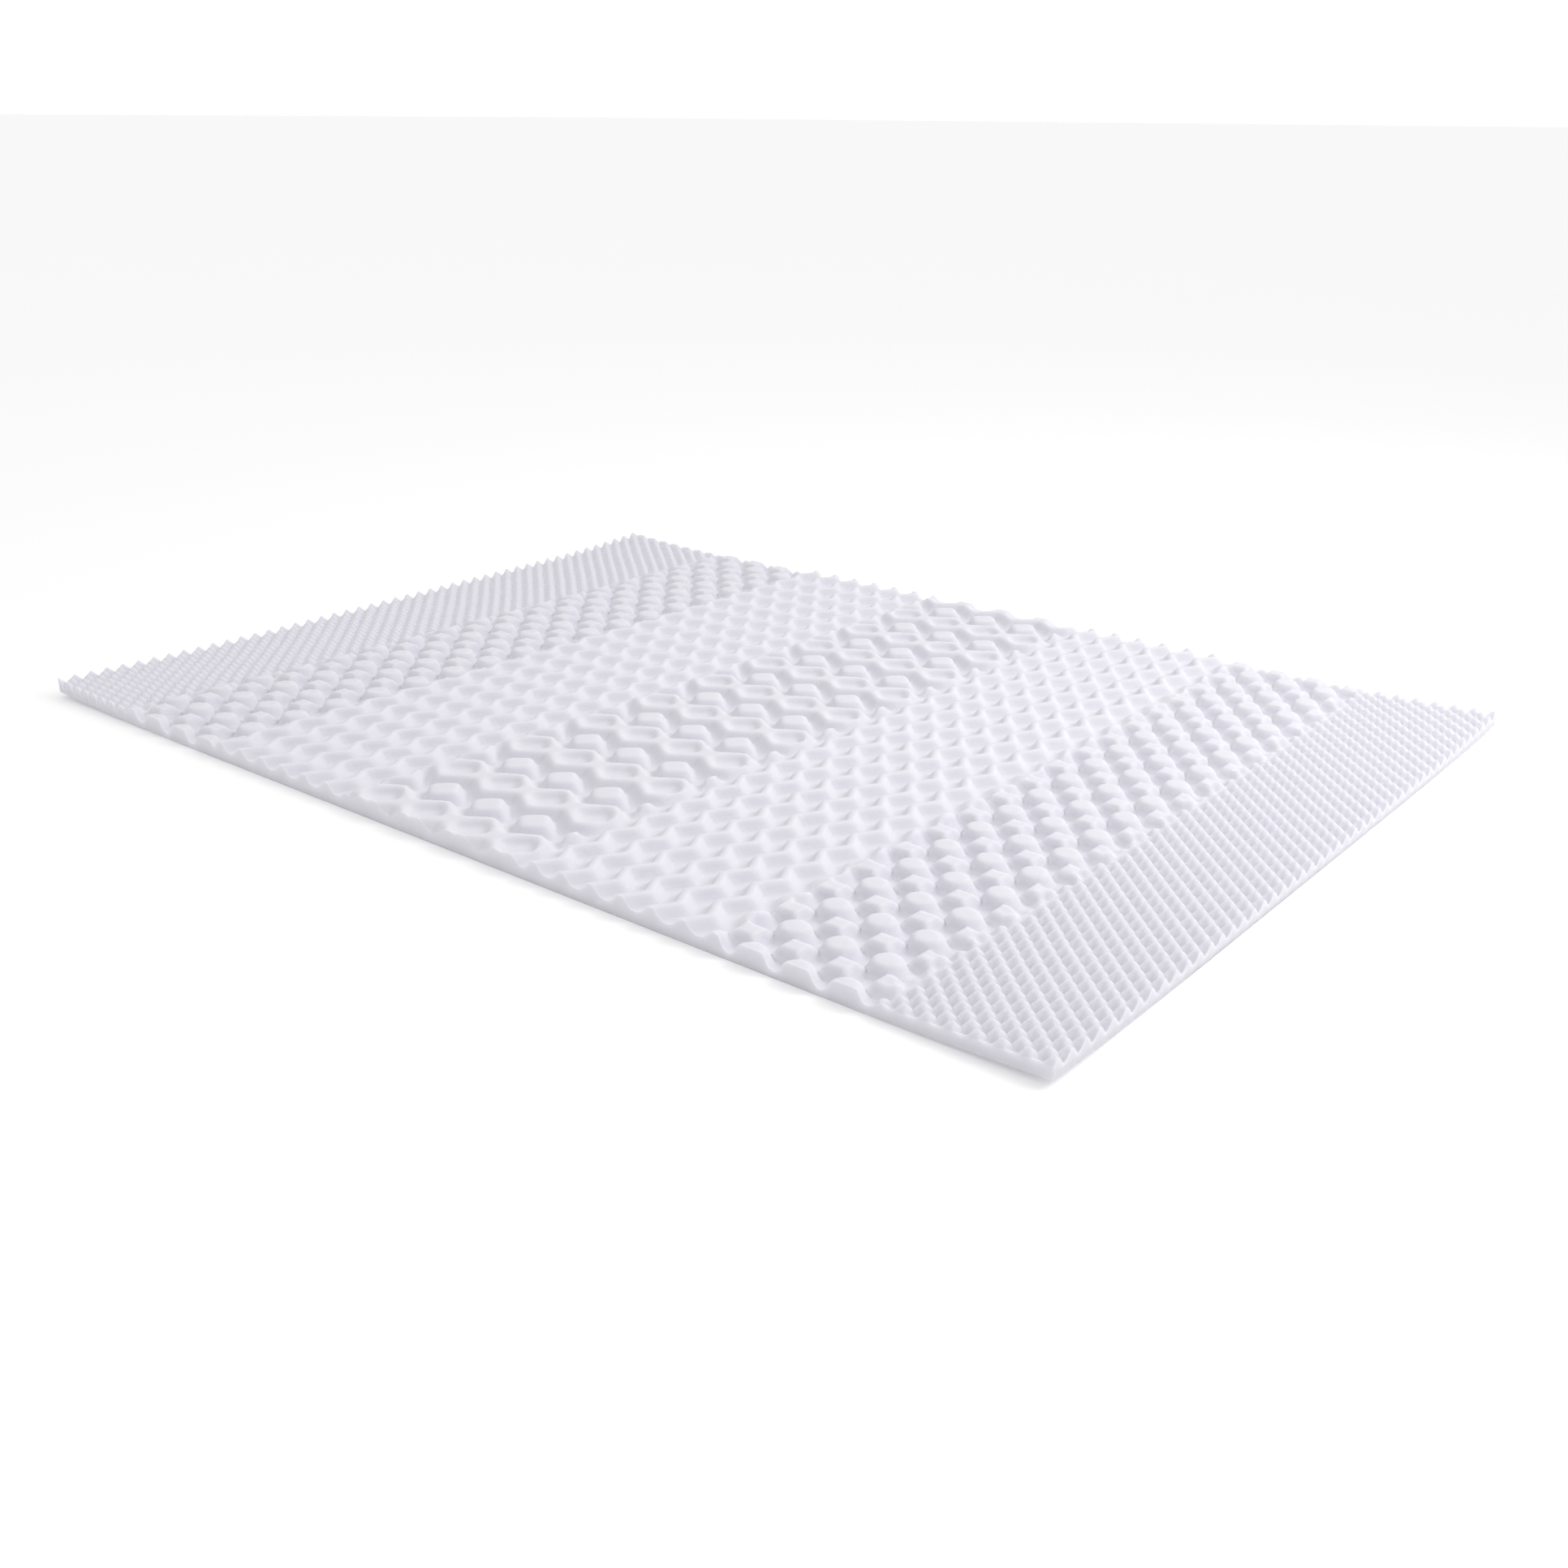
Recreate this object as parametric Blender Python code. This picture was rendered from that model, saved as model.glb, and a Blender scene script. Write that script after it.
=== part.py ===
"""Mattress topper: one slab of open-cell foam with seven zones of relief.

The underside is flat and the sides are plain cuts. Seven zones follow each
other along the length, in mirror order: fine egg-crate points, large domes,
zigzag ridges, rings with flat-topped blocks in the middle, and then ridges,
domes and points again. All sizes are metres.
"""
import math
from collections import namedtuple

import bmesh
import bpy
import numpy as np
from mathutils import Matrix, Vector

# Slab: length along X, width along Y, and the block it is cut from
LENGTH = 1.910
WIDTH = 1.393
BLOCK = 0.020
HALF_LENGTH = LENGTH / 2
HALF_WIDTH = WIDTH / 2

# The cutting roller repeats every seven rings, or 12 domes, 14 waves, 32 points
ROLLER = 0.942
RING_STRETCH = 1.01
RING_Y = ROLLER / 7 * RING_STRETCH
DOME_Y = ROLLER / 12
WAVE_Y = ROLLER / 14
POINT_Y = ROLLER / 32

# Flanks: how far an edge is rounded, and how they run out on the floor
EDGE_ROUND = 0.0015
FLANK_POWER = 1.15

# Fine points: mean height and half the relief
POINT_MEAN = 0.0172
POINT_RISE = 0.0085

# Domes: floor, full round ones, and pinched ones with four arms
DOME_FLOOR = 0.0085
DOME_HEIGHT = 0.0185
DOME_RADIUS = 0.0190
DOME_FLANK = 0.0045
STAR_HEIGHT = 0.0180
STAR_REACH = 0.0265
STAR_FLANK = 0.0080
STAR_POWER = 0.70
STAR_ROUND = 0.0020

# Ridges: floor, height, level top, and the zigzag to each side
RIDGE_FLOOR = 0.0160
RIDGE_HEIGHT = 0.0145
RIDGE_HALF_WIDTH = 0.0070
RIDGE_FLANK = 0.0054
ZIGZAG = 0.0091

# Rings and blocks: depths, outlines, and how their corners are rounded
RING_TOP = 0.0300
CHANNEL_DEPTH = 0.0190
ROW_FLANK = 0.0072
BLOCK_FLANK = 0.0045
HOLE_DEPTH = 0.0100
HOLE_FLANK = 0.0034
ROW_HALF = 0.0275
ROW_SWING = 0.0125
HOLE_SIZE = 0.0306
BLOCK_SIZE = 0.0262
RING_ROUND = 0.0080
RING_SKEW = 0.72

# One row for each zone from the left end to the right end
Zone = namedtuple(
    "Zone",
    "pattern left right first_x pitch_x first_y pitch_y columns rows blend",
)
ZONES = [
    Zone("points", -0.9550, -0.7165, -0.9225, 0.0310, -0.6965, POINT_Y, 2, 2, 0.0),
    Zone("domes", -0.7165, -0.4780, -0.6410, 0.0702, -0.6175, DOME_Y, 2, 2, 0.0060),
    Zone("ridges", -0.4780, -0.1553, -0.3508, 0.0509, -0.6620, WAVE_Y, 2, 2, 0.0050),
    Zone("rings", -0.1553, 0.1803, 0.1530, 0.0895, -0.6676, RING_Y, 4, 6, 0.0040),
    Zone("ridges", 0.1803, 0.5140, 0.3675, 0.0500, -0.6643, WAVE_Y, 2, 2, 0.0040),
    Zone("domes", 0.5140, 0.7399, 0.6305, 0.0668, -0.6171, DOME_Y, 2, 2, 0.0050),
    Zone("points", 0.7399, 0.9550, 0.7420, 0.0299, -0.6885, POINT_Y, 2, 2, 0.0070),
]

# The zones on the left lean a little: their near side lies further left. All
# zones bow a little too: both their sides lie further left than their middle.
LEAN = 0.036
LEAN_START = -0.955
LEAN_FULL_FROM = -0.720
LEAN_FULL_TO = -0.550
LEAN_END = 0.750
BOW = 0.0150
BOW_FADE = 0.200

# Corners that curl up: side along X, side along Y, lift, reach
Corner = namedtuple("Corner", "side_x side_y lift reach")
CORNERS = [
    Corner(-1, -1, 0.0090, 0.46),
    Corner(1, -1, 0.0090, 0.34),
    Corner(1, 1, 0.0080, 0.34),
    Corner(-1, 1, 0.0100, 0.30),
]

# Cuts of the underside, measured in from the ends and the long sides
UNDERSIDE_INSET = (0.080, 0.200, 0.460)

# Cuts nearer than this to a zone's border are left out
MARGIN = 0.0070

# Where both folds of a facet miss the relief about equally, the lower is used
FOLD_TIE = 0.0012

# Points nearer than this to a border or to a cutting plane lie on it
ON_BORDER = 1e-4
ON_PLANE = 1e-6


def wave(turns):
    """Rounded triangle wave: +1 at 0, -1 at one half."""
    steep = 0.97
    return np.arcsin(steep * np.cos(2 * math.pi * turns)) / math.asin(steep)


def smooth_step(t):
    t = np.clip(t, 0.0, 1.0)
    return t * t * (3 - 2 * t)


def flank(outside, width):
    """1 inside an edge, and falling towards 0 with the distance outside it."""
    outside = (outside + np.sqrt(outside ** 2 + EDGE_ROUND ** 2)) / 2
    return np.exp(-((outside / width) ** FLANK_POWER))


def points_height(u, v, zone):
    across = np.cos(2 * math.pi * (u - zone.first_x) / zone.pitch_x)
    along = np.cos(2 * math.pi * (v - zone.first_y) / zone.pitch_y)
    return POINT_MEAN + POINT_RISE * across * along


def to_lattice(u, v, zone, half):
    """Sideways distances to the nearest point of the zone's lattice."""
    dx = (u - zone.first_x) / zone.pitch_x - half
    dy = (v - zone.first_y) / zone.pitch_y - half
    return (dx - np.round(dx)) * zone.pitch_x, (dy - np.round(dy)) * zone.pitch_y


def domes_height(u, v, zone):
    outside_dome = np.hypot(*to_lattice(u, v, zone, 0.0)) - DOME_RADIUS
    dx, dy = to_lattice(u, v, zone, 0.5)
    along_arm = ((dx + dy) ** 2 / 2 + STAR_ROUND ** 2) ** (STAR_POWER / 2)
    across_arm = ((dx - dy) ** 2 / 2 + STAR_ROUND ** 2) ** (STAR_POWER / 2)
    outside_star = (along_arm + across_arm) ** (1 / STAR_POWER) - STAR_REACH
    dome = DOME_HEIGHT * flank(outside_dome, DOME_FLANK)
    star = STAR_HEIGHT * flank(outside_star, STAR_FLANK)
    return DOME_FLOOR + np.maximum(dome, star)


def zigzag_shift(v, zone):
    return ZIGZAG * wave((v - zone.first_y) / zone.pitch_y)


def ridges_height(u, v, zone):
    turns = (u - zone.first_x - zigzag_shift(v, zone)) / zone.pitch_x
    from_crest = np.abs(turns - np.round(turns)) * zone.pitch_x
    return RIDGE_FLOOR + RIDGE_HEIGHT * flank(from_crest - RIDGE_HALF_WIDTH, RIDGE_FLANK)


def outside_diamond(dx, dy, size):
    """How far outside a rounded diamond a place lies, negative inside."""
    side_x = np.sqrt(dx * dx + RING_ROUND ** 2) - RING_ROUND / 2
    side_y = np.sqrt(dy * dy + RING_ROUND ** 2) - RING_ROUND / 2
    return (side_x + side_y - size) * RING_SKEW


def rings_height(u, v, zone):
    hole_x, hole_y = to_lattice(u, v, zone, 0.0)
    block_x, block_y = to_lattice(u, v, zone, 0.5)
    half_row = ROW_HALF + ROW_SWING * wave(hole_x / zone.pitch_x)
    outside_row = (np.abs(hole_y) - half_row) * RING_SKEW
    outside_block = outside_diamond(block_x, block_y, BLOCK_SIZE)
    hills = np.maximum(flank(outside_row, ROW_FLANK), flank(outside_block, BLOCK_FLANK))
    hole = 1 - flank(-outside_diamond(hole_x, hole_y, HOLE_SIZE), HOLE_FLANK)
    return RING_TOP - CHANNEL_DEPTH * (1 - hills) - HOLE_DEPTH * hole


HEIGHTS = {
    "points": points_height,
    "domes": domes_height,
    "ridges": ridges_height,
    "rings": rings_height,
}


def relief(u, v):
    """Height of the foam over its flat underside, zones melting together."""
    height = HEIGHTS[ZONES[0].pattern](u, v, ZONES[0])
    for zone in ZONES[1:]:
        share = 0.5 + 0.5 * np.tanh((u - zone.left) / (2 * zone.blend))
        own = HEIGHTS[zone.pattern](u, v, zone)
        height = height * (1 - share) + own * share
    return height


def slide_at(u, v):
    """How far the zones' lines lean and bow along X."""
    rise = smooth_step((u - LEAN_START) / (LEAN_FULL_FROM - LEAN_START))
    fall = smooth_step((LEAN_END - u) / (LEAN_END - LEAN_FULL_TO))
    bow = BOW * smooth_step((HALF_LENGTH - np.abs(u)) / BOW_FADE)
    return LEAN * rise * fall * v - bow * v ** 2


def curl_at(x, y):
    """Lift of the slab near its four corners."""
    lift = 0.0
    for corner in CORNERS:
        away = math.hypot(corner.side_x * HALF_LENGTH - x, corner.side_y * HALF_WIDTH - y)
        lift += corner.lift * max(0.0, 1 - away / corner.reach) ** 2
    return lift


def cut(bm, faces, point, normal):
    """Cut only these faces with a plane."""
    edges = {edge for face in faces for edge in face.edges}
    verts = {vert for face in faces for vert in face.verts}
    bmesh.ops.bisect_plane(
        bm,
        geom=list(verts) + list(edges) + list(faces),
        dist=ON_PLANE,
        plane_co=point,
        plane_no=normal,
    )


def grid_lines(first, step, low, high):
    """Lines of a lattice that lie between two borders."""
    start = math.ceil((low + MARGIN - first) / step)
    stop = math.floor((high - MARGIN - first) / step)
    return [first + step * number for number in range(start, stop + 1)]


def top_faces(bm, left, right):
    return [
        face
        for face in bm.faces
        if face.normal.z > 0.5 and left < face.calc_center_median().x < right
    ]


def cut_zone(bm, zone):
    """Lay the zone's lattice into the flat top of the block."""
    step_x = zone.pitch_x / zone.columns
    for x in grid_lines(zone.first_x, step_x, zone.left, zone.right):
        cut(bm, top_faces(bm, zone.left, zone.right), Vector((x, 0, 0)), Vector((1, 0, 0)))
    step_y = zone.pitch_y / zone.rows
    for y in grid_lines(zone.first_y, step_y, -HALF_WIDTH, HALF_WIDTH):
        cut(bm, top_faces(bm, zone.left, zone.right), Vector((0, y, 0)), Vector((0, 1, 0)))


def cut_underside(bm):
    """Give the underside a few facets near the corners that curl."""
    for inset in UNDERSIDE_INSET:
        for side in (-1, 1):
            low = [face for face in bm.faces if face.normal.z < -0.5]
            x = side * (HALF_LENGTH - inset)
            cut(bm, low, Vector((x, 0, 0)), Vector((1, 0, 0)))
            low = [face for face in bm.faces if face.normal.z < -0.5]
            y = side * (HALF_WIDTH - inset)
            cut(bm, low, Vector((0, y, 0)), Vector((0, 1, 0)))


def follow_zigzag(bm, zone):
    """Move the lattice of a ridged zone onto its crests and hollows."""
    for vert in bm.verts:
        on_top = vert.co.z > BLOCK / 2
        if on_top and zone.left + ON_BORDER < vert.co.x < zone.right - ON_BORDER:
            vert.co.x += zigzag_shift(vert.co.y, zone)


def raise_relief(bm):
    """Lift the top's points to the relief and fold each facet along it."""
    top = [vert for vert in bm.verts if vert.co.z > BLOCK / 2]
    quads = [face for face in bm.faces if face.normal.z > 0.5 and len(face.verts) == 4]
    for face in quads:
        corners = list(face.verts)
        middle = face.calc_center_median()
        wanted = float(relief(middle.x, middle.y))
        heights = [float(relief(vert.co.x, vert.co.y)) for vert in corners]
        miss_first = abs((heights[0] + heights[2]) / 2 - wanted)
        miss_second = abs((heights[1] + heights[3]) / 2 - wanted)
        first_is_low = heights[0] + heights[2] < heights[1] + heights[3]
        use_first = miss_first < miss_second
        if abs(miss_first - miss_second) < FOLD_TIE:
            use_first = first_is_low
        if use_first:
            bmesh.utils.face_split(face, corners[0], corners[2])
        else:
            bmesh.utils.face_split(face, corners[1], corners[3])
    many = [face for face in bm.faces if len(face.verts) > 3 and face.normal.z > 0.5]
    bmesh.ops.triangulate(bm, faces=many, quad_method="BEAUTY", ngon_method="BEAUTY")
    for vert in top:
        vert.co.z = float(relief(vert.co.x, vert.co.y))


def settle(bm):
    """Lean the zones on the top and curl the corners of the whole slab."""
    for vert in bm.verts:
        if vert.co.z > 0:
            vert.co.x += float(slide_at(vert.co.x, vert.co.y))
        vert.co.z += curl_at(vert.co.x, vert.co.y)


def make_slab(collection):
    bm = bmesh.new()
    block = Matrix.Translation((0, 0, BLOCK / 2)) @ Matrix.Diagonal((LENGTH, WIDTH, BLOCK, 1))
    bmesh.ops.create_cube(bm, size=1.0, matrix=block)
    for zone in ZONES[1:]:
        top = top_faces(bm, -HALF_LENGTH, HALF_LENGTH)
        cut(bm, top, Vector((zone.left, 0, 0)), Vector((1, 0, 0)))
    cut_underside(bm)
    for zone in ZONES:
        cut_zone(bm, zone)
    for zone in ZONES:
        if zone.pattern == "ridges":
            follow_zigzag(bm, zone)
    raise_relief(bm)
    settle(bm)
    rest = [face for face in bm.faces if len(face.verts) > 3]
    bmesh.ops.triangulate(bm, faces=rest, quad_method="BEAUTY", ngon_method="BEAUTY")
    bmesh.ops.recalc_face_normals(bm, faces=bm.faces[:])
    mesh = bpy.data.meshes.new("foam_slab")
    bm.to_mesh(mesh)
    bm.free()
    slab = bpy.data.objects.new("foam_slab", mesh)
    collection.objects.link(slab)
    return slab


def foam_material():
    material = bpy.data.materials.new("foam_white")
    material.use_nodes = True
    shader = material.node_tree.nodes["Principled BSDF"]
    shader.inputs["Base Color"].default_value = (0.79, 0.79, 0.84, 1.0)
    shader.inputs["Roughness"].default_value = 0.95
    shader.inputs["Metallic"].default_value = 0.0
    return material


def main():
    for item in list(bpy.data.objects):
        bpy.data.objects.remove(item, do_unlink=True)
    collection = bpy.data.collections.new("Mattress topper")
    bpy.context.scene.collection.children.link(collection)
    slab = make_slab(collection)
    slab.data.materials.append(foam_material())


main()
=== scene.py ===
# %% [markdown]
# This lesson dresses a mattress topper: one slab of white foam with a flat
# underside and a convoluted top. The slab's true size and place come from the
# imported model, so that is loaded first, and its box is kept. Everything below
# is in metres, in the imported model's own frame.

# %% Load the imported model
import math
from collections import namedtuple

import bmesh
import bpy
import numpy as np
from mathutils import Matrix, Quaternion, Vector, noise


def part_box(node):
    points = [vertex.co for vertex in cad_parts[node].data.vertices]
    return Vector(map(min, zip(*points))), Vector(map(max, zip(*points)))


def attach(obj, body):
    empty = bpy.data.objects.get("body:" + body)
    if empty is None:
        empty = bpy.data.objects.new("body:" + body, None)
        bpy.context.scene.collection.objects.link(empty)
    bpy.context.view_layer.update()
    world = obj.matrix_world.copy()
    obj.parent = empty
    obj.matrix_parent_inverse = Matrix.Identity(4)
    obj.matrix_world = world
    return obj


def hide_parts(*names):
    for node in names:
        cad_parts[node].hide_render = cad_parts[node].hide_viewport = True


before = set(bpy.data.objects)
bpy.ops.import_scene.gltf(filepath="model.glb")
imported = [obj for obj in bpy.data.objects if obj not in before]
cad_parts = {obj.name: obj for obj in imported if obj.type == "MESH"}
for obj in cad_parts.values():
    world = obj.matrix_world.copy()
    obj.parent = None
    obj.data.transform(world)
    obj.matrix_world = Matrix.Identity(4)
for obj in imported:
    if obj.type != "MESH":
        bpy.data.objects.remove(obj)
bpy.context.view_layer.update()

SLAB_LOW, SLAB_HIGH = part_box("foam_slab")
HALF_LENGTH = (SLAB_HIGH[0] - SLAB_LOW[0]) / 2
HALF_WIDTH = (SLAB_HIGH[1] - SLAB_LOW[1]) / 2
print("slab", round(2 * HALF_LENGTH, 4), "by", round(2 * HALF_WIDTH, 4), "m")

# %% [markdown]
# The camera stands at the near right of the slab and a little under a metre
# up. Its place and lens follow from the slab's four corners in the picture: a
# known rectangle seen in perspective fixes both. It looks at a point on the
# slab, and leans by half a degree, as a camera held in the hand does.

# %% Camera
CAMERA_AT = Vector((1.6586, -2.0119, 0.9162))
CAMERA_LOOKS_AT = Vector((0.2541, -0.2622, 0.0200))
CAMERA_ROLL = math.radians(0.457)
PICTURE_SIDE = 1932
FOCAL_PIXELS = 2064.1

camera_data = bpy.data.cameras.new("camera")
camera_data.sensor_width = 36.0
camera_data.lens = camera_data.sensor_width * FOCAL_PIXELS / PICTURE_SIDE
camera = bpy.data.objects.new("camera", camera_data)
bpy.context.scene.collection.objects.link(camera)
gaze = (CAMERA_LOOKS_AT - CAMERA_AT).to_track_quat("-Z", "Y")
camera.location = CAMERA_AT
camera.rotation_euler = (gaze @ Quaternion((0, 0, 1), CAMERA_ROLL)).to_euler()
bpy.context.scene.camera = camera
print("lens", round(camera_data.lens, 2), "mm")

# %% [markdown]
# Foam like this is cut by convoluting. A block goes between two studded
# rollers that squeeze it while a band knife splits it, and where the studs
# pressed, the foam springs back as a hill on one half and a hollow on the
# other. So one roller pattern repeats across the whole width: seven rings,
# twelve domes, fourteen waves and thirty-two points go into one turn of it.
# The foam of the ring zone is stretched by one part in a hundred.
#
# Each zone is a row in a table. It names its pattern, its borders along the
# length, where the pattern starts and how often it repeats, and how many mesh
# columns and rows go into one repeat. The last column says how softly the
# zone melts into the one before it.

# %% Zones along the length
ROLLER = 0.942
RING_STRETCH = 1.01
RING_Y = ROLLER / 7 * RING_STRETCH
DOME_Y = ROLLER / 12
WAVE_Y = ROLLER / 14
POINT_Y = ROLLER / 32

Zone = namedtuple(
    "Zone",
    "pattern left right first_x pitch_x first_y pitch_y columns rows blend",
)
ZONES = [
    Zone("points", -HALF_LENGTH, -0.7165, -0.9225, 0.0310, -0.6965, POINT_Y, 6, 6, 0.0),
    Zone("domes", -0.7165, -0.4780, -0.6410, 0.0702, -0.6175, DOME_Y, 16, 14, 0.0060),
    Zone("ridges", -0.4780, -0.1553, -0.3508, 0.0509, -0.6620, WAVE_Y, 10, 8, 0.0050),
    Zone("rings", -0.1553, 0.1803, 0.1530, 0.0895, -0.6676, RING_Y, 18, 28, 0.0040),
    Zone("ridges", 0.1803, 0.5140, 0.3675, 0.0500, -0.6643, WAVE_Y, 10, 8, 0.0040),
    Zone("domes", 0.5140, 0.7399, 0.6305, 0.0668, -0.6171, DOME_Y, 16, 14, 0.0050),
    Zone("points", 0.7399, HALF_LENGTH, 0.7420, 0.0299, -0.6885, POINT_Y, 6, 6, 0.0070),
]
print(len(ZONES), "zones from", ZONES[0].left, "to", ZONES[-1].right)

# %% [markdown]
# Three small curves are used in the patterns: a rounded zigzag, a step with
# soft ends, and a flank. The flank is what the knife leaves round a hill that
# is level on top: full height up to the edge, then steep, then running out on
# the floor. They work on whole arrays of points at once.

# %% Helper curves
WAVE_STEEPNESS = 0.97
EDGE_ROUND = 0.0015
FLANK_POWER = 1.15


def wave(turns):
    """Rounded triangle wave: +1 at 0, -1 at one half."""
    rounded = WAVE_STEEPNESS * np.cos(2 * math.pi * turns)
    return np.arcsin(rounded) / math.asin(WAVE_STEEPNESS)


def smooth_step(t):
    t = np.clip(t, 0.0, 1.0)
    return t * t * (3 - 2 * t)


def flank(outside, width):
    """1 inside an edge, and falling towards 0 with the distance outside it."""
    outside = (outside + np.sqrt(outside ** 2 + EDGE_ROUND ** 2)) / 2
    return np.exp(-((outside / width) ** FLANK_POWER))


print("flank at the edge, one and two widths out:", flank(np.array([0, 0.006, 0.012]), 0.006))

# %% [markdown]
# The fine points at both ends are the plain egg-crate cut: peaks and pits in
# a diagonal grid. The product of two cosines is that shape.

# %% Fine points
POINT_MEAN = 0.0172
POINT_RISE = 0.0085


def points_height(u, v, zone):
    across = np.cos(2 * math.pi * (u - zone.first_x) / zone.pitch_x)
    along = np.cos(2 * math.pi * (v - zone.first_y) / zone.pitch_y)
    return POINT_MEAN + POINT_RISE * across * along


print("points from", POINT_MEAN - POINT_RISE, "to", POINT_MEAN + POINT_RISE, "m high")

# %% [markdown]
# Next come large domes. Full ones are round and level on top, and stand on a
# rectangular lattice. Pinched ones stand on its half-way points, each a star
# with four arms that reach for the full domes around it. A sum of roots makes
# the star: the lower the power, the thinner its arms.

# %% Domes
DOME_FLOOR = 0.0085
DOME_HEIGHT = 0.0185
DOME_RADIUS = 0.0190
DOME_FLANK = 0.0045
STAR_HEIGHT = 0.0180
STAR_REACH = 0.0265
STAR_FLANK = 0.0080
STAR_POWER = 0.70
STAR_ROUND = 0.0020


def to_lattice(u, v, zone, half):
    """Sideways distances to the nearest point of the zone's lattice."""
    dx = (u - zone.first_x) / zone.pitch_x - half
    dy = (v - zone.first_y) / zone.pitch_y - half
    return (dx - np.round(dx)) * zone.pitch_x, (dy - np.round(dy)) * zone.pitch_y


def domes_height(u, v, zone):
    outside_dome = np.hypot(*to_lattice(u, v, zone, 0.0)) - DOME_RADIUS
    dx, dy = to_lattice(u, v, zone, 0.5)
    along_arm = ((dx + dy) ** 2 / 2 + STAR_ROUND ** 2) ** (STAR_POWER / 2)
    across_arm = ((dx - dy) ** 2 / 2 + STAR_ROUND ** 2) ** (STAR_POWER / 2)
    outside_star = (along_arm + across_arm) ** (1 / STAR_POWER) - STAR_REACH
    dome = DOME_HEIGHT * flank(outside_dome, DOME_FLANK)
    star = STAR_HEIGHT * flank(outside_star, STAR_FLANK)
    return DOME_FLOOR + np.maximum(dome, star)


print("domes up to", DOME_FLOOR + DOME_HEIGHT, "m high")

# %% [markdown]
# The ridges run across the slab and swing from side to side. They are level
# on top with a flank on each side, and the swing moves them sideways by the
# rounded zigzag.

# %% Zigzag ridges
RIDGE_FLOOR = 0.0160
RIDGE_HEIGHT = 0.0145
RIDGE_HALF_WIDTH = 0.0070
RIDGE_FLANK = 0.0054
ZIGZAG = 0.0091


def zigzag_shift(v, zone):
    return ZIGZAG * wave((v - zone.first_y) / zone.pitch_y)


def ridges_height(u, v, zone):
    turns = (u - zone.first_x - zigzag_shift(v, zone)) / zone.pitch_x
    from_crest = np.abs(turns - np.round(turns)) * zone.pitch_x
    return RIDGE_FLOOR + RIDGE_HEIGHT * flank(from_crest - RIDGE_HALF_WIDTH, RIDGE_FLANK)


print("ridges swing by", ZIGZAG, "m to each side")

# %% [markdown]
# In the middle the foam stands in rows of rings that join side by side. Each
# ring is a thick wall round a shallow hollow, shaped like a rounded diamond,
# and flat blocks of the same outline stand between the rows. All their tops
# are level, and flanks run down from their outlines into the channel between
# them, the deeper the further apart they stand.

# %% Rings and blocks
RING_TOP = 0.0300
CHANNEL_DEPTH = 0.0190
ROW_FLANK = 0.0072
BLOCK_FLANK = 0.0045
HOLE_DEPTH = 0.0100
HOLE_FLANK = 0.0034
ROW_HALF = 0.0275
ROW_SWING = 0.0125
HOLE_SIZE = 0.0306
BLOCK_SIZE = 0.0262
RING_ROUND = 0.0080
RING_SKEW = 0.72


def outside_diamond(dx, dy, size):
    """How far outside a rounded diamond a place lies, negative inside."""
    side_x = np.sqrt(dx * dx + RING_ROUND ** 2) - RING_ROUND / 2
    side_y = np.sqrt(dy * dy + RING_ROUND ** 2) - RING_ROUND / 2
    return (side_x + side_y - size) * RING_SKEW


def rings_height(u, v, zone):
    hole_x, hole_y = to_lattice(u, v, zone, 0.0)
    block_x, block_y = to_lattice(u, v, zone, 0.5)
    half_row = ROW_HALF + ROW_SWING * wave(hole_x / zone.pitch_x)
    outside_row = (np.abs(hole_y) - half_row) * RING_SKEW
    outside_block = outside_diamond(block_x, block_y, BLOCK_SIZE)
    hills = np.maximum(flank(outside_row, ROW_FLANK), flank(outside_block, BLOCK_FLANK))
    hole = 1 - flank(-outside_diamond(hole_x, hole_y, HOLE_SIZE), HOLE_FLANK)
    return RING_TOP - CHANNEL_DEPTH * (1 - hills) - HOLE_DEPTH * hole


print("rings repeat every", ZONES[3].pitch_x, "by", round(RING_Y, 4), "m")

# %% [markdown]
# The four patterns are joined along the length. At each border one pattern
# fades out while the next fades in. Three more things make the slab the real
# one and not a drawing of it: its left zones lean a little, because the foam
# went through the rollers askew, all zones bow a little, and the corners curl
# up off the floor.

# %% The whole surface
HEIGHTS = {
    "points": points_height,
    "domes": domes_height,
    "ridges": ridges_height,
    "rings": rings_height,
}

LEAN = 0.036
LEAN_START = -0.955
LEAN_FULL_FROM = -0.720
LEAN_FULL_TO = -0.550
LEAN_END = 0.750
BOW = 0.0150
BOW_FADE = 0.200

Corner = namedtuple("Corner", "side_x side_y lift reach")
CORNERS = [
    Corner(-1, -1, 0.0090, 0.46),
    Corner(1, -1, 0.0090, 0.34),
    Corner(1, 1, 0.0080, 0.34),
    Corner(-1, 1, 0.0100, 0.30),
]


def relief(u, v):
    """Height of the foam over its flat underside, zones melting together."""
    height = HEIGHTS[ZONES[0].pattern](u, v, ZONES[0])
    for zone in ZONES[1:]:
        share = 0.5 + 0.5 * np.tanh((u - zone.left) / (2 * zone.blend))
        own = HEIGHTS[zone.pattern](u, v, zone)
        height = height * (1 - share) + own * share
    return height


def slide_at(u, v):
    """How far the zones' lines lean and bow along X."""
    rise = smooth_step((u - LEAN_START) / (LEAN_FULL_FROM - LEAN_START))
    fall = smooth_step((LEAN_END - u) / (LEAN_END - LEAN_FULL_TO))
    bow = BOW * smooth_step((HALF_LENGTH - np.abs(u)) / BOW_FADE)
    return LEAN * rise * fall * v - bow * v ** 2


def curl_at(x, y):
    lift = np.zeros_like(x)
    for corner in CORNERS:
        away = np.hypot(corner.side_x * HALF_LENGTH - x, corner.side_y * HALF_WIDTH - y)
        lift += corner.lift * np.maximum(0.0, 1 - away / corner.reach) ** 2
    return lift


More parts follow.
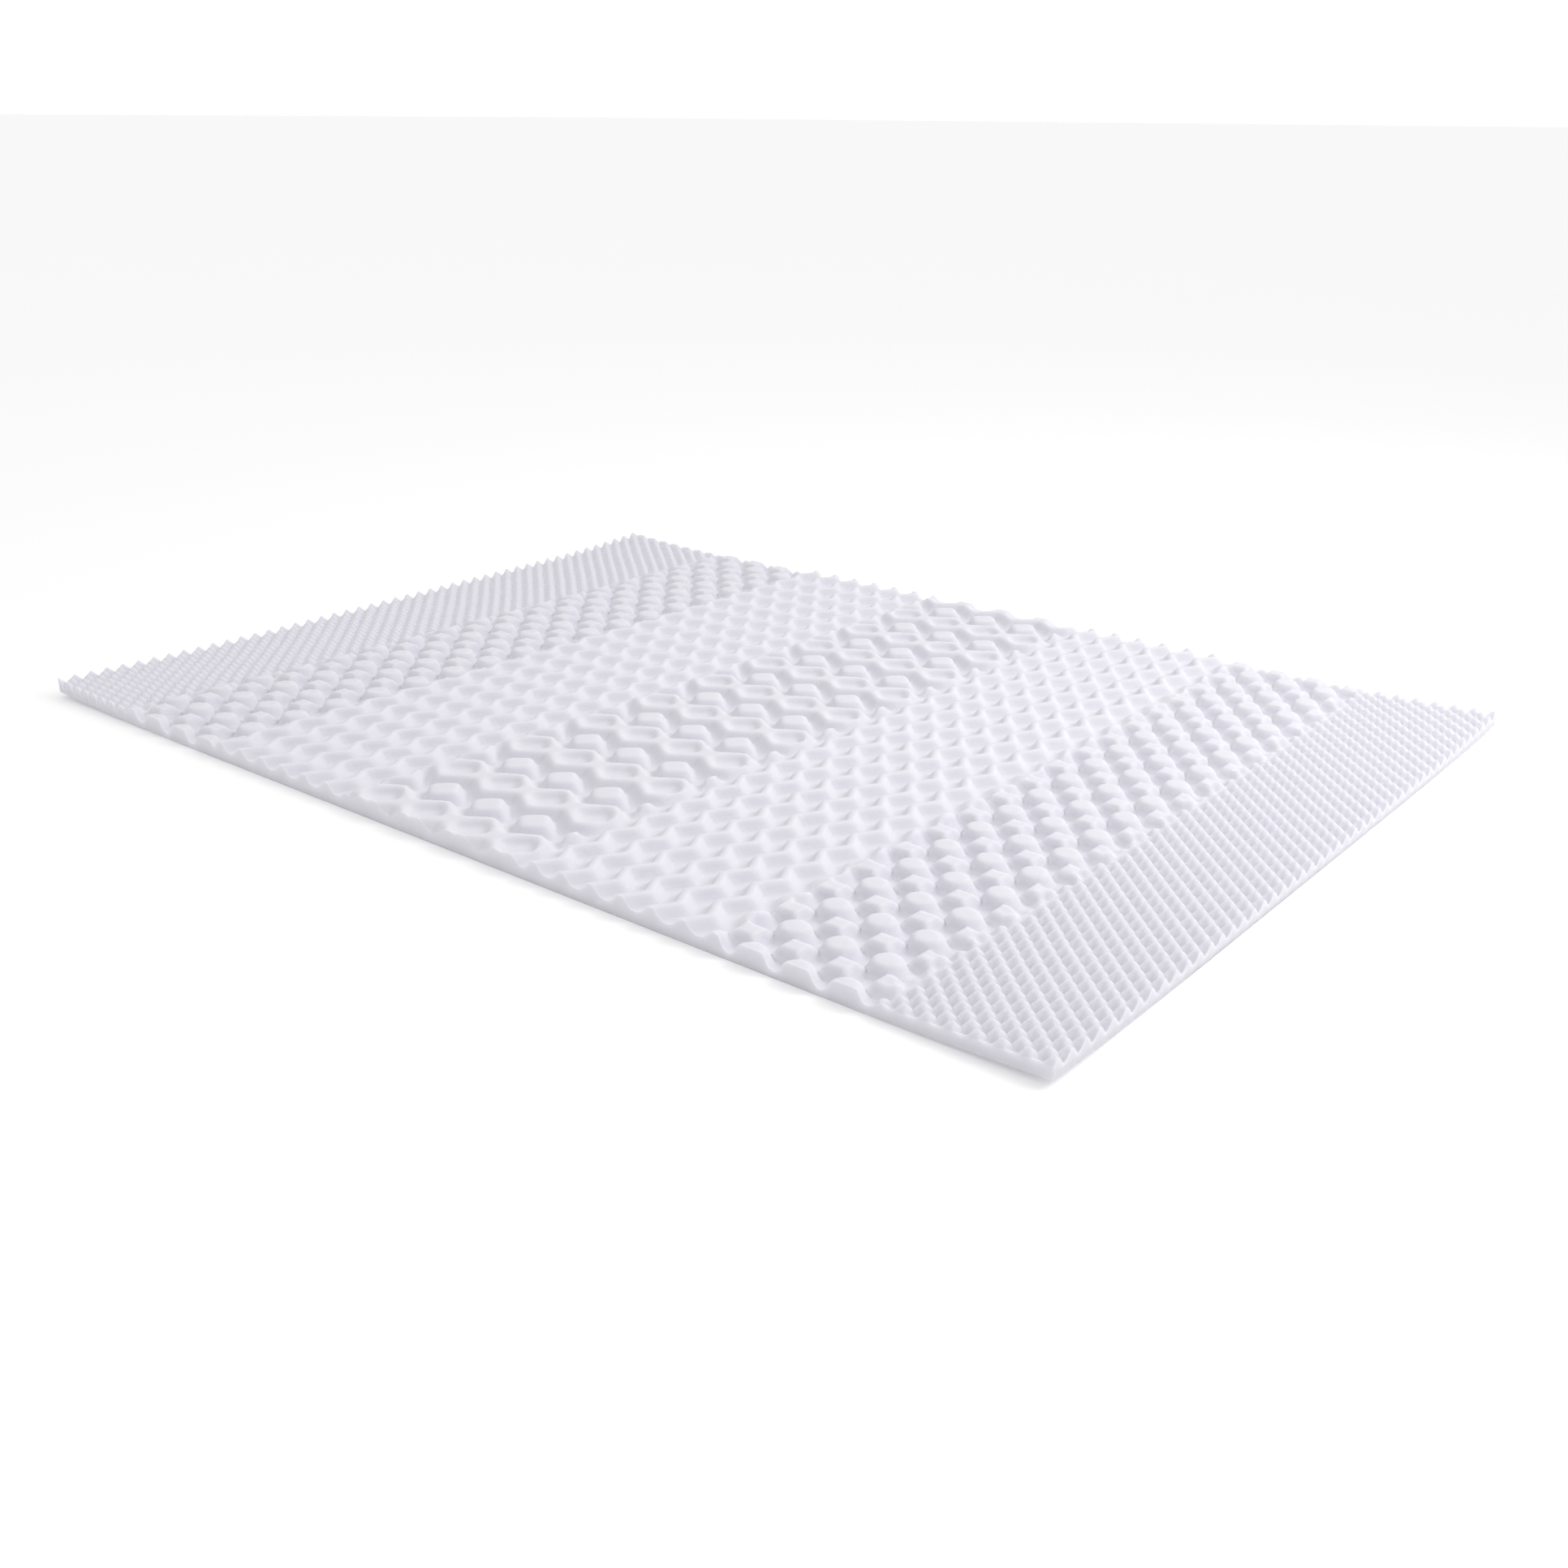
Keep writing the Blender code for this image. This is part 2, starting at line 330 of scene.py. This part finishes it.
near_right = curl_at(np.array([HALF_LENGTH]), np.array([-HALF_WIDTH]))
print("lift at the near right corner:", near_right)

# %% [markdown]
# The mesh is laid out flat first. Each zone gets its own grid, whose lines
# fall on the pattern's crests and hollows, so that no peak is missed. A line
# that would fall almost on a border is left out. A grid as fine as the domes
# need would be wasteful over the ridges, so the zones differ, and a narrow
# strip between them is bridged, which turns the unequal rows into triangles.

# %% Flat grids
STRIP = 0.004
NEAR_BORDER = 0.3


def lines(first, step, low, high):
    """Two borders and the pattern's lines between them."""
    start = math.ceil((low - first) / step + NEAR_BORDER)
    stop = math.floor((high - first) / step - NEAR_BORDER)
    inner = [first + step * number for number in range(start, stop + 1)]
    return np.array([low] + inner + [high])


def add_grid(bm, zone):
    low = zone.left if zone is ZONES[0] else zone.left + STRIP / 2
    high = zone.right if zone is ZONES[-1] else zone.right - STRIP / 2
    xs = lines(zone.first_x, zone.pitch_x / zone.columns, low, high)
    ys = lines(zone.first_y, zone.pitch_y / zone.rows, -HALF_WIDTH, HALF_WIDTH)
    across, along = len(xs) - 1, len(ys) - 1
    made = bmesh.ops.create_grid(bm, x_segments=across, y_segments=along, size=0.5)["verts"]
    for vert in made:
        vert.co.x = xs[round((vert.co.x + 0.5) * across)]
        vert.co.y = ys[round((vert.co.y + 0.5) * along)]
    return across, along


slab = bmesh.new()
for zone in ZONES:
    print(zone.pattern, "grid", add_grid(slab, zone))


# %% Bridge the strips between the zones


def edges_on(bm, x):
    """Open edges that lie on one line across the slab."""
    return [
        edge
        for edge in bm.edges
        if edge.is_boundary and all(abs(vert.co.x - x) < STRIP / 8 for vert in edge.verts)
    ]


for zone in ZONES[1:]:
    left_side = edges_on(slab, zone.left - STRIP / 2)
    right_side = edges_on(slab, zone.left + STRIP / 2)
    bmesh.ops.bridge_loops(slab, edges=left_side + right_side)
    print("bridged", len(left_side), "and", len(right_side), "edges")
print(len(slab.faces), "faces on top")

# %% [markdown]
# The sides are plain cuts. The open rim of the grid is extruded straight down
# to make them, and the rim at the bottom is filled. A few cuts over the
# underside let it follow the corners where they curl. Extruding doesn't list
# its new edges and faces in the same order each time, so they are sorted.

# %% Sides and underside
UNDERSIDE_STEP = 0.10
UNDERSIDE_COLUMNS = 9
UNDERSIDE_ROWS = 6
DROP = SLAB_HIGH[2] / 2
ON_PLANE = 1e-6


def corner_numbers(edge_or_face):
    """The numbers of its points in rising order, to sort edges and faces by."""
    return sorted(vert.index for vert in edge_or_face.verts)


rim = [edge for edge in slab.edges if edge.is_boundary]
down = bmesh.ops.extrude_edge_only(slab, edges=rim)["geom"]
low_verts = [item for item in down if isinstance(item, bmesh.types.BMVert)]
low_edges = [item for item in down if isinstance(item, bmesh.types.BMEdge) and item.is_boundary]
bmesh.ops.translate(slab, verts=low_verts, vec=Vector((0, 0, -DROP)))
underside = bmesh.ops.contextual_create(slab, geom=low_edges)["faces"]
print(len(rim), "edges round the rim,", len(underside), "face below")

cuts = []
for number in range(-UNDERSIDE_COLUMNS, UNDERSIDE_COLUMNS + 1):
    cuts.append((Vector((number * UNDERSIDE_STEP, 0, 0)), Vector((1, 0, 0))))
for number in range(-UNDERSIDE_ROWS, UNDERSIDE_ROWS + 1):
    cuts.append((Vector((0, number * UNDERSIDE_STEP, 0)), Vector((0, 1, 0))))
for place, direction in cuts:
    edges = {edge for face in underside for edge in face.edges}
    verts = {vert for face in underside for vert in face.verts}
    geometry = list(verts) + list(edges) + underside
    bmesh.ops.bisect_plane(
        slab,
        geom=geometry,
        dist=ON_PLANE,
        plane_co=place,
        plane_no=direction,
    )
    slab.faces.ensure_lookup_table()
    underside = [
        face
        for face in slab.faces
        if all(vert.co.z < -DROP / 2 for vert in face.verts)
    ]
bmesh.ops.triangulate(slab, faces=underside, quad_method="BEAUTY", ngon_method="BEAUTY")
bmesh.ops.recalc_face_normals(slab, faces=slab.faces[:])
for edge in rim:
    edge.smooth = False
slab.verts.index_update()
for elements in (slab.edges, slab.faces):
    in_order = sorted(elements, key=corner_numbers)
    rank = {element: number for number, element in enumerate(in_order)}
    elements.sort(key=rank.get)
print(len(underside), "faces below after the cuts")

# %% Make the flat mesh an object
slab_mesh = bpy.data.meshes.new("foam_slab_soft")
slab.to_mesh(slab_mesh)
slab.free()
foam = bpy.data.objects.new("foam_slab_soft", slab_mesh)
bpy.context.scene.collection.objects.link(foam)
slab_mesh.polygons.foreach_set("use_smooth", [True] * len(slab_mesh.polygons))
print(len(slab_mesh.vertices), "points,", len(slab_mesh.polygons), "faces")

# %% [markdown]
# Now the flat points are raised. In the ridged zones each point first moves
# sideways with the zigzag, so the mesh's lines run along the crests, and that
# fades out at the borders where the zones meet. Foam is never perfect, so a
# slow, shallow noise of half a millimetre goes over the heights.

# %% Raise the relief
SLIDE_FADE = 0.022
UNEVEN_HEIGHT = 0.0005
UNEVEN_SIZE = 0.045

places = np.empty(len(slab_mesh.vertices) * 3)
slab_mesh.vertices.foreach_get("co", places)
places = places.reshape(-1, 3)
on_top = places[:, 2] > -DROP / 2
u = places[:, 0].copy()
v = places[:, 1].copy()
for zone in ZONES:
    if zone.pattern == "ridges":
        inside = smooth_step((u - zone.left) / SLIDE_FADE)
        inside *= smooth_step((zone.right - u) / SLIDE_FADE)
        u += zigzag_shift(v, zone) * inside
height = relief(u, v)
uneven = [noise.noise(Vector((x, y, 0.0)) / UNEVEN_SIZE) for x, y in zip(u, v)]
height += UNEVEN_HEIGHT * np.array(uneven)
x = u + slide_at(u, v)
z = np.where(on_top, height, 0.0) + curl_at(x, v)
slab_mesh.vertices.foreach_set("co", np.column_stack([x, v, z]).ravel())
slab_mesh.update()
print("heights from", round(float(height[on_top].min()), 4), "to", round(float(z.max()), 4))

# %% Put the soft slab on the frame
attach(foam, "root")
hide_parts("foam_slab")
triangles = sum(len(face.vertices) - 2 for face in slab_mesh.polygons)
print(triangles, "triangles in the soft slab")

# %% [markdown]
# Colours are written as they look on a screen, in hex, and one function turns
# them into the linear values that the shader works with. A second one adds a
# node to a material with its settings and its links.

# %% Colour and node helpers


def linear(hex_colour):
    """A screen colour such as "#E6E6EE" as linear red, green, blue and alpha."""
    channels = [int(hex_colour[start : start + 2], 16) / 255 for start in (1, 3, 5)]
    return [
        value / 12.92 if value <= 0.04045 else ((value + 0.055) / 1.055) ** 2.4
        for value in channels
    ] + [1.0]


def add_node(owner, kind, settings=(), values=(), links=()):
    """Add a node, set its own settings, its input values and its input links."""
    node = owner.node_tree.nodes.new(kind)
    for name, value in dict(settings).items():
        setattr(node, name, value)
    for name, value in dict(values).items():
        node.inputs[name].default_value = value
    for name, source in dict(links).items():
        owner.node_tree.links.new(source, node.inputs[name])
    return node


print("white foam in linear light:", [round(value, 3) for value in linear("#E6E6EE")])

# %% [markdown]
# The foam is open-cell polyurethane. Its skin is a mass of cut cells about a
# millimetre wide, so it has hardly any gloss, and light that enters it comes
# out again a few millimetres away, which is why the hollows never look dark.
# That is what subsurface scattering is for. The cells are bump: a Voronoi
# pattern, drawn about three millimetres wide, because real ones would vanish
# in the picture. A slow noise breaks the evenness of colour and surface.

# %% Open-cell polyurethane foam
FOAM_ROUGHNESS = 0.95
FOAM_GLOSS = 0.2
CELL_SIZE = 0.003
CELL_DEPTH = 0.00015
SWELL_SIZE = 0.018
SWELL_DEPTH = 0.0002
SCATTER_SHARE = 0.7
SCATTER_DEPTH = 0.006

polyurethane_foam = bpy.data.materials.new("open_cell_polyurethane_foam")
polyurethane_foam.use_nodes = True
shader = polyurethane_foam.node_tree.nodes["Principled BSDF"]
coordinates = add_node(polyurethane_foam, "ShaderNodeTexCoord").outputs["Object"]
cells = add_node(
    polyurethane_foam,
    "ShaderNodeTexVoronoi",
    values={"Scale": 1 / CELL_SIZE, "Randomness": 1.0},
    links={"Vector": coordinates},
)
swells = add_node(
    polyurethane_foam,
    "ShaderNodeTexNoise",
    values={"Scale": 1 / SWELL_SIZE, "Detail": 3.0, "Roughness": 0.5},
    links={"Vector": coordinates},
)
tint = add_node(
    polyurethane_foam,
    "ShaderNodeMix",
    settings={"data_type": "RGBA"},
    values={"A": linear("#DDDCE3"), "B": linear("#E3E2E9")},
    links={"Factor": swells.outputs["Fac"]},
)
swell_bump = add_node(
    polyurethane_foam,
    "ShaderNodeBump",
    values={"Strength": 1.0, "Distance": SWELL_DEPTH},
    links={"Height": swells.outputs["Fac"]},
)
cell_bump = add_node(
    polyurethane_foam,
    "ShaderNodeBump",
    values={"Strength": 1.0, "Distance": CELL_DEPTH},
    links={"Height": cells.outputs["Distance"], "Normal": swell_bump.outputs["Normal"]},
)
shader.inputs["Roughness"].default_value = FOAM_ROUGHNESS
shader.inputs["Specular IOR Level"].default_value = FOAM_GLOSS
shader.inputs["Subsurface Weight"].default_value = SCATTER_SHARE
shader.inputs["Subsurface Radius"].default_value = (1.0, 1.0, 1.0)
shader.inputs["Subsurface Scale"].default_value = SCATTER_DEPTH
polyurethane_foam.node_tree.links.new(tint.outputs["Result"], shader.inputs["Base Color"])
polyurethane_foam.node_tree.links.new(cell_bump.outputs["Normal"], shader.inputs["Normal"])
slab_mesh.materials.append(polyurethane_foam)
print("material", polyurethane_foam.name)

# %% [markdown]
# The slab lies on a plain white floor, as in a product studio. The floor is
# only a plane of paper white, wide enough to reach the horizon. A faint glow of
# its own keeps it white where less light falls.

# %% Floor
FLOOR_SIZE = 600.0
FLOOR_GLOW = 0.10

floor_form = bmesh.new()
bmesh.ops.create_grid(floor_form, x_segments=1, y_segments=1, size=FLOOR_SIZE / 2)
floor_mesh = bpy.data.meshes.new("floor")
floor_form.to_mesh(floor_mesh)
floor_form.free()
floor = bpy.data.objects.new("floor", floor_mesh)
bpy.context.scene.collection.objects.link(floor)
white_paper = bpy.data.materials.new("white_backdrop_paper")
white_paper.use_nodes = True
paper_shader = white_paper.node_tree.nodes["Principled BSDF"]
paper_shader.inputs["Base Color"].default_value = linear("#FCFCFC")
paper_shader.inputs["Roughness"].default_value = 1.0
paper_shader.inputs["Specular IOR Level"].default_value = 0.0
paper_shader.inputs["Emission Color"].default_value = linear("#FFFFFF")
paper_shader.inputs["Emission Strength"].default_value = FLOOR_GLOW
floor_mesh.materials.append(white_paper)
print("floor", FLOOR_SIZE, "m wide")

# %% [markdown]
# Most of the light is an even white sky, like the inside of a photo tent. A
# broad glow in it, high up behind the slab, gives each hill a bright side. Low
# over the horizon the sky is plain white, so that the floor runs into it. One
# weak soft lamp near the right end makes that end whiter.

# %% Light
SKY_STRENGTH = 0.65
HORIZON_STRENGTH = 1.0
HORIZON_HEIGHT = 0.06
GLOW_STRENGTH = 0.58
GLOW_AZIMUTH = math.radians(20)
GLOW_ELEVATION = math.radians(64)
GLOW_POWER = 3.0
LAMP_AT = Vector((1.9, 0.9, 1.9))
LAMP_SIZE = 1.6
LAMP_WATTS = 24.0

sky = bpy.data.worlds.new("sky")
sky.use_nodes = True
background = sky.node_tree.nodes["Background"]
toward = add_node(sky, "ShaderNodeTexCoord").outputs["Generated"]
glow_from = (
    math.sin(GLOW_AZIMUTH) * math.cos(GLOW_ELEVATION),
    math.cos(GLOW_AZIMUTH) * math.cos(GLOW_ELEVATION),
    math.sin(GLOW_ELEVATION),
)
facing = add_node(
    sky,
    "ShaderNodeVectorMath",
    settings={"operation": "DOT_PRODUCT"},
    values={1: glow_from},
    links={0: toward},
)
facing = add_node(
    sky,
    "ShaderNodeMath",
    settings={"operation": "MAXIMUM"},
    values={1: 0.0},
    links={0: facing.outputs["Value"]},
)
glow = add_node(
    sky,
    "ShaderNodeMath",
    settings={"operation": "POWER"},
    values={1: GLOW_POWER},
    links={0: facing.outputs[0]},
)
height_over_horizon = add_node(sky, "ShaderNodeSeparateXYZ", links={0: toward})
plain_sky = add_node(
    sky,
    "ShaderNodeMapRange",
    values={
        "From Min": HORIZON_HEIGHT,
        "From Max": 2 * HORIZON_HEIGHT,
        "To Min": HORIZON_STRENGTH,
        "To Max": SKY_STRENGTH,
    },
    links={"Value": height_over_horizon.outputs["Z"]},
)
whole_sky = add_node(
    sky,
    "ShaderNodeMath",
    settings={"operation": "MULTIPLY_ADD"},
    values={1: GLOW_STRENGTH},
    links={0: glow.outputs[0], 2: plain_sky.outputs["Result"]},
)
sky.node_tree.links.new(whole_sky.outputs[0], background.inputs["Strength"])
background.inputs["Color"].default_value = (1.0, 1.0, 1.0, 1.0)
bpy.context.scene.world = sky

lamp_data = bpy.data.lights.new("soft_lamp", "AREA")
lamp_data.shape = "SQUARE"
lamp_data.size = LAMP_SIZE
lamp_data.energy = LAMP_WATTS
lamp = bpy.data.objects.new("soft_lamp", lamp_data)
lamp.location = LAMP_AT
lamp.rotation_euler = (-LAMP_AT).to_track_quat("-Z", "Y").to_euler()
bpy.context.scene.collection.objects.link(lamp)
bpy.context.scene.view_settings.view_transform = "Standard"
print("sky", SKY_STRENGTH, "glow", GLOW_STRENGTH, "lamp", LAMP_WATTS, "W")
